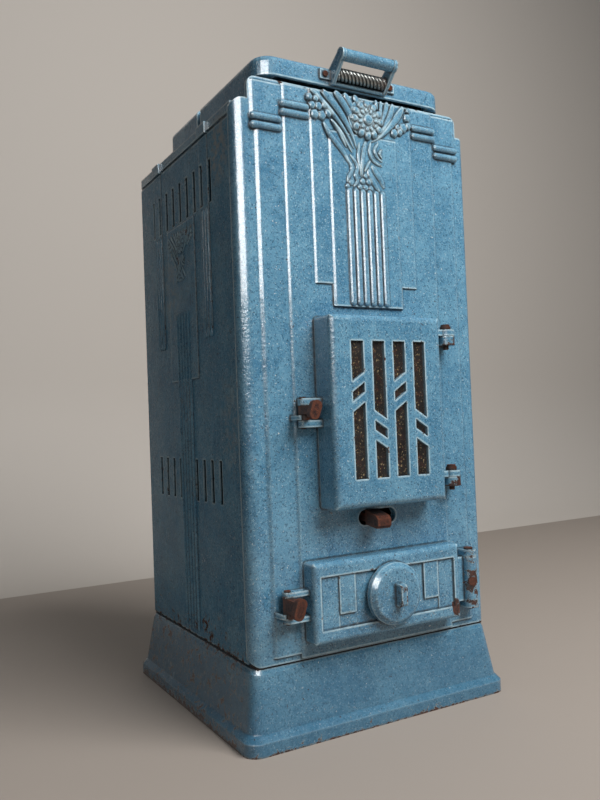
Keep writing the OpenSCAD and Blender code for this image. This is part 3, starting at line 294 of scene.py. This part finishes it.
def worn_steel(look):
    """Bare drawn steel wire and rod, dulled by handling: grey metal with brown spots, and grooves darkened by dirt
    and painted shade.
    """
    material, tree, where, xyz = new_material("worn_bare_steel")
    colour = coat(tree, look.steel, "#b5b8b4", patches(tree, where, 5, 0.4, 0.65))
    _, crevice = edge_masks(tree, outer_mm=3.0)
    # dirt and painted shade darken the grooves
    colour = coat(tree, colour, look.grime_and_shade, crevice, 0.85)
    # the roll's right end has rusted more
    right_end = add(tree, "ShaderNodeMapRange", {"Value": xyz[0], "From Min": 12 * MM, "From Max": 40 * MM,
                                                 "To Max": 0.2})
    rust = add(tree, "ShaderNodeMath", {0: patches(tree, where, 3.5, 0.0, 1.0, detail=5), 1: right_end},
               operation="ADD")
    rust = add(tree, "ShaderNodeMapRange", {"Value": rust, "From Min": 0.62, "From Max": 0.72, "To Max": 0.85})
    colour = coat(tree, colour, rust_colour(tree, where, look), rust)
    metal = add(tree, "ShaderNodeMath", {0: rust, 1: -1.0, 2: 0.9}, operation="MULTIPLY_ADD")
    rough = add(tree, "ShaderNodeMath", {0: rust, 1: 0.4, 2: 0.36}, operation="MULTIPLY_ADD")
    finish_shader(tree, colour, rough, patches(tree, where, 1.6, 0.0, 1.0), 0.4, 0.6, 0.2, Metallic=metal)
    return material


def fireclay(look):
    """Pressed and burnt fireclay: buff, gritty and matt, blackened where the smoke passes."""
    material, tree, where, xyz = new_material("pressed_fireclay")
    colour = coat(tree, look.clay, "#8a7458", patches(tree, where, 25, 0.35, 0.65, detail=5))
    colour = coat(tree, colour, "#4c3f33", patches(tree, where, 1.8, 0.6, 0.68, most=0.6))
    soot = add(tree, "ShaderNodeMath", {0: xyz[2], 1: -0.2, 2: patches(tree, where, 60, 0.0, 1.0)},
               operation="MULTIPLY_ADD")
    soot = add(tree, "ShaderNodeMapRange", {"Value": soot, "From Min": 0.30, "From Max": 0.52, "To Max": 0.8})
    colour = coat(tree, colour, look.soot, soot)
    finish_shader(tree, colour, patches(tree, where, 9, 0.3, 0.7, 0.8, 0.95), patches(tree, where, 1.8, 0.0, 1.0),
                  1.0, 0.8, 0.5)
    return material


def smoked_mica(look):
    """Split sheet mica browned by smoke: dark, streaked down the panes, with a few bright flakes and rust dust."""
    material, tree, where, _ = new_material("smoked_mica_sheet")
    tall = add(tree, "ShaderNodeMapping", {"Vector": where, "Scale": (1.0, 1.0, 0.28)})
    colour = coat(tree, look.mica_dark, look.mica_light, patches(tree, tall, 14, 0.42, 0.66, detail=5, warp=0.5))
    colour = coat(tree, colour, look.rust_body, patches(tree, where, 9, 0.52, 0.62, most=0.6))
    colour = coat(tree, colour, "#c2ab7e", patches(tree, where, 2.8, 0.60, 0.65, most=0.85))
    finish_shader(tree, colour, patches(tree, tall, 8, 0.35, 0.65, 0.35, 0.7), patches(tree, tall, 6, 0.0, 1.0),
                  0.4, 0.8, 0.5, IOR=1.56)
    return material


def paint(name, make, nodes):
    """Gives CAD nodes one finish, made on first use."""
    material = bpy.data.materials.get(name) or make(bpy.context.scene.stove_finish)
    for node in nodes:
        mesh = NODES[node].data
        mesh.materials.clear()
        mesh.materials.append(material)
    return material


# ---- surfaces ----

def closed_grid(rings, pole_a, pole_b):
    """Vertices and triangles of a stack of rings closed by a pole at each end: rings is (n, m, 3)."""
    n, m, _ = rings.shape
    verts = np.concatenate([rings.reshape(-1, 3), [pole_a], [pole_b]])
    i, j = np.meshgrid(np.arange(n - 1), np.arange(m), indexing="ij")
    a, b = i * m + j, i * m + (j + 1) % m
    skin = np.stack([a, a + m, b + m, a, b + m, b], -1).reshape(-1, 3)
    j = np.arange(m)
    k = (j + 1) % m
    cap_a = np.stack([j, k, np.full(m, n * m)], -1)
    cap_b = np.stack([(n - 1) * m + k, (n - 1) * m + j, np.full(m, n * m + 1)], -1)
    return verts, np.concatenate([skin, cap_a, cap_b])


def joined(parts):
    """Several (vertices, triangles) pairs as one."""
    starts = np.cumsum([0] + [len(verts) for verts, _ in parts[:-1]])
    return np.concatenate([v for v, _ in parts]), np.concatenate([t + s for (_, t), s in zip(parts, starts)])


def mesh_piece(name, verts, triangles, material, body):
    """A smooth new mesh in place in the row frame, its closed shells facing out, riding a body."""
    mesh = bpy.data.meshes.new(name)
    mesh.from_pydata(verts, [], triangles)
    work = bmesh.new()
    work.from_mesh(mesh)
    bmesh.ops.recalc_face_normals(work, faces=work.faces)
    work.to_mesh(mesh)
    work.free()
    mesh.polygons.foreach_set("use_smooth", np.ones(len(mesh.polygons), bool))
    mesh.materials.append(material)
    mesh.update()
    piece = bpy.data.objects.new(name, mesh)
    bpy.context.scene.collection.objects.link(piece)
    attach(piece, body)
    return piece


def smooth_path(points, count):
    """Catmull-Rom curve: between the second and third of four points, half of twice the second, plus (third less
    first) times u, plus the usual square and cube terms, sampled evenly in u."""
    p = np.array(points, float)
    p = np.vstack([2 * p[0] - p[1], p, 2 * p[-1] - p[-2]])
    t = np.linspace(0, len(p) - 3 - 1e-9, count)
    i = t.astype(int)
    u = (t - i)[:, None]
    a, b, c, d = p[i], p[i + 1], p[i + 2], p[i + 3]
    return 0.5 * (2 * b + (c - a) * u + (2 * a - 5 * b + 4 * c - d) * u ** 2 + (3 * b - a - 3 * c + d) * u ** 3)


def rib(points, width_a, width_b, proud, taper=0.35, count=26, around=12):
    """A cast rib along a curve in a plane: at each place an ellipse twice as high as the rib is proud. Its width
    goes evenly from width_a to width_b, times the sine of half a turn along to the power of the taper."""
    path = smooth_path(points, count)
    t = np.linspace(0, 1, count)
    size = np.sin(np.pi * np.clip(t, 0.02, 0.98)) ** taper
    width = size * (width_a + (width_b - width_a) * t)
    along = np.gradient(path, axis=0)
    along /= np.linalg.norm(along, axis=1)[:, None]
    side = np.stack([-along[:, 1], along[:, 0]], -1)
    a = np.linspace(0, 2 * np.pi, around, endpoint=False)
    flat = path[:, None, :] + side[:, None, :] * (np.cos(a)[None, :] * width[:, None] / 2)[..., None]
    rings = np.dstack([flat, np.sin(a)[None, :] * (size * proud)[:, None]])
    return closed_grid(rings, np.append(path[0], 0.0), np.append(path[-1], 0.0))


def dome(centre, radius, proud, base, petals=0, depth=0.0, stretch=1.0, turn=0.0, around=20):
    """A cast boss: its height falls from the middle as a quarter circle of the distance out, and its outline swells
    once per petal by depth times the cosine of the petal angle; a short skirt goes down below its base."""
    t = np.append(np.linspace(0.12, 1, 6), 1.0)[::-1]
    a = np.linspace(0, 2 * np.pi, around, endpoint=False)
    r = radius * t[:, None] * (1 + depth * np.cos(petals * a)[None, :] * t[:, None])
    x, y = r * np.cos(a), r * np.sin(a) * stretch
    c, s = math.cos(turn), math.sin(turn)
    h = base + proud * np.sqrt(np.clip(1 - t ** 2, 0, 1))[:, None] + 0 * r
    h[0] = base - 3.0
    rings = np.dstack([centre[0] + x * c - y * s, centre[1] + x * s + y * c, h])
    return closed_grid(rings, [centre[0], centre[1], base - 3.0], [centre[0], centre[1], base + proud])


# The fan's ribs and the ribbons under it, seen from the front: points right and up of the ornament's middle in
# millimetres, then the width at the first point and at the last
FAN = (
    ([(-13, -44), (-20, -24), (-30, -7), (-43, 10), (-58, 24), (-67, 32)], 5, 15),
    ([(-12, -22), (-18, -5), (-28, 13), (-38, 26), (-46, 34)], 6, 14),
    ([(-12, -2), (-18, 13), (-25, 25), (-30, 34)], 6, 12),
    ([(-6, 18), (-10, 26), (-13, 34)], 6, 11),
    ([(-18, -44), (-28, -26), (-42, -8), (-58, 8), (-74, 22), (-87, 30)], 5, 10),
    ([(-30, -44), (-38, -30), (-46, -16), (-54, -7)], 6, 6),
    ([(-21, -50), (-30, -37), (-39, -23), (-47, -12)], 5, 6),
    ([(-25, -68), (-34, -54), (-45, -42), (-57, -29), (-67, -13)], 9, 9),
    ([(14, -30), (30, -18), (46, -3), (60, 12), (73, 31)], 6, 15),
    ([(22, -24), (34, -8), (46, 10), (55, 32)], 5, 13),
    ([(27, -10), (34, 6), (41, 22), (44, 33)], 5, 11),
    ([(29, 2), (31, 16), (33, 33)], 5, 8),
    ([(25, 18), (24, 26), (24, 33)], 5, 7),
)
RIBBONS = (
    ([(3, -30), (-2, -48), (-5, -66), (-6, -84)], 9, 5),
    ([(-8, -34), (-11, -52), (-9, -70), (-8, -82)], 6, 5),
    ([(-25, -53), (-17, -62), (-13, -71), (-17, -82), (-14, -90), (-21, -99)], 7, 7),
    ([(-33, -57), (-25, -67), (-23, -76), (-29, -86), (-31, -94)], 6.5, 6.5),
    ([(12, -30), (9, -42), (12, -54), (20, -60), (30, -63)], 6, 6),
    ([(25, -30), (18, -40), (21, -50), (31, -57)], 5.5, 5.5),
    ([(31, -38), (26, -45), (31, -52)], 4.5, 4.5),
    ([(12, -64), (19, -74), (27, -84), (32, -95)], 11, 9),
    ([(5, -70), (10, -82), (16, -92), (24, -101)], 11, 9),
    ([(10, -57), (4, -66), (-1, -75)], 5, 5),
)
# Small blossoms beside the fan and beads under the ribbons: right, up and radius
BLOSSOMS = ((-80, -4, 6.8), (-69, -4, 6.8), (-58, 1, 6.2), (-74, 8, 6.2), (-64, 11, 5.2), (-84, 8, 5.5),
            (-88, 19, 5), (-78, 18, 5), (80, 16, 6.5), (81, 4, 5.5), (72, 0, 7), (65, -7, 5.5), (55, -10, 6.5),
            (61, -1, 5), (82, 27, 4.5))
BEADS = ((-5, -89, 5), (5, -89, 5), (0, -81, 4.2), (-10, -98, 4.6), (0, -98, 5), (9, -98, 4.6), (-25, -93, 5),
         (-31, -99, 4.2))


def ornament(sizes):
    """The cast flower, fan and ribbons on a plane: (right, up, proud) in millimetres about the ornament's middle.
    The flower is a disc, a boss and two rings of domes, each dome stretched along its radius."""
    high = sizes.rib_height / MM
    parts = [rib(points, a, b, high) for points, a, b in FAN]
    parts += [rib(points, a, b, high * 0.95) for points, a, b in RIBBONS]
    flower = (6.0, 0.0)
    parts.append(dome(flower, 22, 1.6, 2.6, around=48))
    parts.append(dome(flower, 8.2, 4.0, 4.0, around=32))
    for count, ring, size, proud, base, stretch in ((12, 22.0, 6.2, 3.2, 2.6, 0.85), (11, 13.6, 4.0, 2.4, 3.8, 0.7)):
        for a in np.linspace(0, 2 * np.pi, count, endpoint=False):
            middle = (flower[0] + ring * math.cos(a), flower[1] + ring * math.sin(a))
            parts.append(dome(middle, size, proud, base, 0, 0.0, stretch, a))
    parts += [dome((x, z), r, high, -0.2, 5, 0.1) for x, z, r in BLOSSOMS]
    parts += [dome((x, z), r, high, 0.0) for x, z, r in BEADS]
    return joined(parts)


def on_front(flat, base_y, centre_z):
    """Flat (right, up, proud) to the row frame on the stove's front."""
    return np.stack([flat[:, 0], base_y - flat[:, 2], centre_z + flat[:, 1]], -1) * MM


def on_side(flat, base_x, centre_y, centre_z, sign):
    """Flat (right, up, proud) to the row frame on a side panel; sign is -1 on the left and 1 on the right."""
    return np.stack([sign * (base_x + flat[:, 2]), centre_y + sign * flat[:, 0], centre_z + flat[:, 1]], -1) * MM


def spiral_roll(half_length, radius, strands, pitch, y, z, count=320, around=60):
    """Twisted roll: at angle a and distance x the radius is the core plus a bead height times the root of the
    absolute cosine of half the strand angle, strands times (a minus a full turn per pitch)."""
    x = np.linspace(-half_length, half_length, count)
    a = np.linspace(0, 2 * np.pi, around, endpoint=False)
    phase = strands * (a[None, :] - 2 * np.pi * x[:, None] / pitch)
    end = np.clip((half_length - np.abs(x)) / 1.5, 0, 1)[:, None] ** 0.5
    r = (radius - 2.4 + 2.4 * np.sqrt(np.abs(np.cos(phase / 2)))) * (0.8 + 0.2 * end)
    rings = np.dstack([np.broadcast_to(x[:, None], r.shape), y + r * np.cos(a), z + r * np.sin(a)])
    return closed_grid(rings, [-half_length, y, z], [half_length, y, z])


# ---- settings ----

def colour_property(name, description, hex_colour):
    """Arguments of a colour property whose default is a hex colour turned linear."""
    return {"name": name, "description": description, "subtype": "COLOR", "min": 0.0, "max": 1.0,
            "default": linear(hex_colour)[:3]}


class StoveFinish(bpy.types.PropertyGroup):
    """Colours of the finishes"""
    enamel_deep: bpy.props.FloatVectorProperty(**colour_property("Enamel deep", "Blue where thick", "#3c708f"))
    enamel_light: bpy.props.FloatVectorProperty(**colour_property("Enamel light", "Blue where thin", "#6495ae"))
    enamel_pale: bpy.props.FloatVectorProperty(**colour_property("Enamel pale", "Clouds in the glaze", "#7da9bd"))
    enamel_speck: bpy.props.FloatVectorProperty(**colour_property("Specks", "Dark specks", "#1d4058"))
    enamel_fleck: bpy.props.FloatVectorProperty(**colour_property("Flecks", "Pale flecks", "#a5c3ce"))
    # edge glass colour: paler glass over the edges, which also serves as a painted highlight
    edge_glass_and_highlight: bpy.props.FloatVectorProperty(**colour_property("Edge glass", "Thin glass over edges", "#b4cdd5"))
    side_film: bpy.props.FloatVectorProperty(**colour_property("Side film", "Dirt film on the sides", "#1a759f"))
    # grime colour: dirt, and painted shade where it darkens the crevices
    grime_and_shade: bpy.props.FloatVectorProperty(**colour_property("Grime", "Dirt in crevices", "#241d18"))
    rust_pit: bpy.props.FloatVectorProperty(**colour_property("Rust pits", "Darkest rust", "#1e100c"))
    rust_body: bpy.props.FloatVectorProperty(**colour_property("Rust", "Red-brown rust", "#43221a"))
    rust_bloom: bpy.props.FloatVectorProperty(**colour_property("Rust bloom", "Lightest rust", "#6f3d26"))
    soot: bpy.props.FloatVectorProperty(**colour_property("Soot", "Sooty iron", "#1d1a18"))
    steel: bpy.props.FloatVectorProperty(**colour_property("Steel", "Bare steel", "#8b8e8b"))
    clay: bpy.props.FloatVectorProperty(**colour_property("Fireclay", "Clean fireclay", "#a98f6b"))
    mica_dark: bpy.props.FloatVectorProperty(**colour_property("Mica dark", "Smoke-browned mica", "#0c0908"))
    mica_light: bpy.props.FloatVectorProperty(**colour_property("Mica light", "Cleaner mica", "#241b16"))
    floor: bpy.props.FloatVectorProperty(**colour_property("Floor", "Pale floor", "#9c9289"))
    wall: bpy.props.FloatVectorProperty(**colour_property("Wall", "Pale backdrop", "#c3bcb4"))


class StoveSizes(bpy.types.PropertyGroup):
    """Sizes of the cast ornament and the spiral roll"""
    rib_height: bpy.props.FloatProperty(name="Rib height", description="How far the ribs stand proud",
                                        default=3.0 * MM, min=0.001, max=0.006, precision=4, unit="LENGTH")
    side_scale: bpy.props.FloatProperty(name="Side ornament", description="Side ornament's size against the front's",
                                        default=58.0, min=30.0, max=70.0, subtype="PERCENTAGE")
    roll_pitch: bpy.props.FloatProperty(name="Roll pitch", description="Length of one full turn of a strand",
                                        default=25 * MM, min=0.01, max=0.05, precision=4, unit="LENGTH")
    roll_strands: bpy.props.IntProperty(name="Roll strands", description="Strands twisted into the roll",
                                        default=4, min=2, max=8)


class StoveStage(bpy.types.PropertyGroup):
    """Camera and lights"""
    lens: bpy.props.FloatProperty(name="Lens", description="Focal length on a 36 mm high frame", default=34.48,
                                  unit="CAMERA")
    key_power: bpy.props.FloatProperty(name="Key light", description="Large lamp high on the right",
                                       default=108.0, min=0.0, unit="POWER")
    window_power: bpy.props.FloatProperty(name="Window", description="Window at the left, seen only as gloss",
                                          default=140.0, min=0.0, unit="POWER")
    sky: bpy.props.FloatProperty(name="Sky", description="Strength of the light from all round", default=0.17,
                                 min=0.0, max=2.0)


# ---- operators ----

class StoveEnamel(bpy.types.Operator):
    """Enamels the castings"""
    bl_idname = "stove.enamel"
    bl_label = "Enamelled castings"

    def execute(self, context):
        paint("vitreous_enamel_blue", vitreous_enamel, ENAMELLED)
        paint("vitreous_enamel_dull", dull_enamel, DULL)
        return {"FINISHED"}


class StoveRust(bpy.types.Operator):
    """Rusts the latches, pins, screws, grate and ash pan"""
    bl_idname = "stove.rust"
    bl_label = "Rusted parts"

    def execute(self, context):
        paint("rusted_cast_iron", rusted_iron, RUSTED)
        return {"FINISHED"}


class StoveSoot(bpy.types.Operator):
    """Blackens the unpainted inner castings and the flue collar"""
    bl_idname = "stove.soot"
    bl_label = "Sooty castings"

    def execute(self, context):
        paint("sooty_cast_iron", sooty_iron, SOOTY)
        return {"FINISHED"}


class StoveSteel(bpy.types.Operator):
    """Bares the steel rods and pins"""
    bl_idname = "stove.steel"
    bl_label = "Steel parts"

    def execute(self, context):
        paint("worn_bare_steel", worn_steel, STEEL)
        return {"FINISHED"}


class StoveLining(bpy.types.Operator):
    """Finishes the firebricks and the mica"""
    bl_idname = "stove.lining"
    bl_label = "Firebricks and mica"

    def execute(self, context):
        paint("pressed_fireclay", fireclay, BRICKS)
        paint("smoked_mica_sheet", smoked_mica, ("mica_pane",))
        return {"FINISHED"}


class StoveRoll(bpy.types.Operator):
    """Makes the spiral roll of the lid's handle"""
    bl_idname = "stove.roll"
    bl_label = "Spiral roll"

    def execute(self, context):
        sizes = context.scene.stove_sizes
        low, high = (np.array(p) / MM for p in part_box("handle_coil"))
        y, z = (low[1] + high[1]) / 2, (low[2] + high[2]) / 2
        verts, triangles = spiral_roll((high[0] - low[0]) / 2, (high[2] - low[2]) / 2, sizes.roll_strands,
                                       sizes.roll_pitch / MM, y, z)
        roll = mesh_piece("handle_spiral_roll", verts * MM, triangles, paint("worn_bare_steel", worn_steel, ()),
                          "loading_lid")
        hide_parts("handle_coil")
        return {"FINISHED"}


class StoveOrnament(bpy.types.Operator):
    """Casts the flower, fan and ribbons on the front and the sides"""
    bl_idname = "stove.ornament"
    bl_label = "Cast ornament"

    def execute(self, context):
        sizes = context.scene.stove_sizes
        enamel = paint("vitreous_enamel_blue", vitreous_enamel, ())
        dull = paint("vitreous_enamel_dull", dull_enamel, ())
        flat, triangles = ornament(sizes)
        mesh_piece("front_flower_relief", on_front(flat, *FRONT_RELIEF), triangles, enamel, "stove")
        flat = flat * [sizes.side_scale / 100, sizes.side_scale / 100, 0.5]
        for sign, name in ((-1, "left_flower_relief"), (1, "right_flower_relief")):
            mesh_piece(name, on_side(flat, *SIDE_RELIEF, sign), triangles, dull, "stove")
        return {"FINISHED"}


def area_lamp(name, place, target, width, height, power):
    """A soft rectangular lamp that looks at a point."""
    lamp = bpy.data.lights.new(name, "AREA")
    lamp.shape, lamp.size, lamp.size_y, lamp.energy = "RECTANGLE", width, height, power
    light = bpy.data.objects.new(name, lamp)
    bpy.context.scene.collection.objects.link(light)
    light.rotation_euler = (Vector(place) - Vector(target)).to_track_quat("Z", "Y").to_euler()
    light.location = place
    return light


def matt_paint(name, colour):
    """Flat wall paint, rolled on: an even matt colour."""
    material, tree, _, _ = new_material(name)
    shader = add(tree, "ShaderNodeBsdfPrincipled", {"Base Color": colour, "Roughness": 0.8})
    add(tree, "ShaderNodeOutputMaterial", {"Surface": shader})
    return material


def stage_sheet(name, across, ys, zs, material):
    """A smooth sheet of the stage: a profile in Y and Z carried straight from one X to another."""
    verts = np.stack([np.tile(across, len(ys)), np.repeat(ys, 2), np.repeat(zs, 2)], -1)
    i = 2 * np.arange(len(ys) - 1)
    mesh = bpy.data.meshes.new(name)
    mesh.from_pydata(verts, [], np.stack([i, i + 1, i + 3, i + 2], -1))
    mesh.polygons.foreach_set("use_smooth", np.ones(len(mesh.polygons), bool))
    mesh.materials.append(material)
    sheet = bpy.data.objects.new(name, mesh)
    bpy.context.scene.collection.objects.link(sheet)


class StoveStageBuild(bpy.types.Operator):
    """Sets the pale floor, the soft lights and the camera"""
    bl_idname = "stove.stage"
    bl_label = "Floor, lights and camera"

    def execute(self, context):
        settings = context.scene.stove_stage
        finish = context.scene.stove_finish
        floor, wall = (matt_paint(name, colour) for name, colour in (("pale_floor_paint", finish.floor),
                                                                     ("pale_wall_paint", finish.wall)))
        # a wide floor, and behind the right of the stove a backdrop that rises from it through a quarter circle
        half, left, back, bend, high = 6.0, -0.7, 1.6, 0.6, 4.0
        turn = np.linspace(0, math.pi / 2, 9)
        stage_sheet("floor", (-half, half), [-half, half], [0.0, 0.0], floor)
        stage_sheet("backdrop", (left, half), np.append(back - bend + bend * np.sin(turn), back),
                    np.append(bend - bend * np.cos(turn), high), wall)
        world = bpy.data.worlds.new("studio")
        world.use_nodes = True
        background = world.node_tree.nodes["Background"]
        background.inputs["Color"].default_value = linear("#c9cdd0")
        background.inputs["Strength"].default_value = settings.sky
        context.scene.world = world
        # the key lamp gives light without its own reflection, and the window gives only its reflection
        key = area_lamp("key", (0.66, -1.75, 2.35), (0, -0.2, 0.7), 1.7, 1.7, settings.key_power)
        key.visible_glossy = False
        window = area_lamp("window", (-1.75, -2.0, 1.55), (-0.1, -0.2, 0.75), 2.4, 1.1, settings.window_power)
        window.visible_diffuse = False
        camera = bpy.data.cameras.new("camera")
        camera.sensor_fit = "VERTICAL"
        camera.sensor_height = 36.0
        camera.lens = settings.lens
        eye = bpy.data.objects.new("camera", camera)
        context.scene.collection.objects.link(eye)
        right, up, ahead = (0.8685, -0.4943, -0.0384), (0.0193, -0.0437, 0.9989), (0.4954, 0.8683, 0.0284)
        turn = Matrix([[right[i], up[i], -ahead[i]] for i in range(3)]).to_quaternion()
        eye.rotation_euler = turn.to_euler()
        eye.location = (-0.6289, -1.1, 0.4225)
        context.scene.camera = eye
        context.scene.view_settings.view_transform = "Standard"
        return {"FINISHED"}


class StovePanel(bpy.types.Panel):
    """Lists the stove's settings and pieces"""
    bl_idname = "VIEW3D_PT_stove"
    bl_label = "Enamelled stove"
    bl_space_type = "VIEW_3D"
    bl_region_type = "UI"
    bl_category = "Stove"

    def draw(self, context):
        for group in (context.scene.stove_finish, context.scene.stove_sizes, context.scene.stove_stage):
            for key in type(group).__annotations__:
                self.layout.prop(group, key)
        for operator in OPERATORS:
            self.layout.operator(operator.bl_idname)


OPERATORS = (StoveStageBuild, StoveEnamel, StoveRust, StoveSoot, StoveSteel, StoveLining, StoveRoll, StoveOrnament)
CLASSES = (StoveFinish, StoveSizes, StoveStage) + OPERATORS + (StovePanel,)


def register():
    """Registers the classes and hangs the settings on the scene."""
    for cls in CLASSES:
        bpy.utils.register_class(cls)
    bpy.types.Scene.stove_finish = bpy.props.PointerProperty(type=StoveFinish)
    bpy.types.Scene.stove_sizes = bpy.props.PointerProperty(type=StoveSizes)
    bpy.types.Scene.stove_stage = bpy.props.PointerProperty(type=StoveStage)


def unregister():
    """Takes them off again."""
    del bpy.types.Scene.stove_stage
    del bpy.types.Scene.stove_sizes
    del bpy.types.Scene.stove_finish
    for cls in reversed(CLASSES):
        bpy.utils.unregister_class(cls)


def main():
    register()
    for build in (bpy.ops.stove.stage, bpy.ops.stove.enamel, bpy.ops.stove.rust, bpy.ops.stove.soot,
                  bpy.ops.stove.steel, bpy.ops.stove.lining, bpy.ops.stove.roll, bpy.ops.stove.ornament):
        build()


if __name__ == "__main__":
    main()
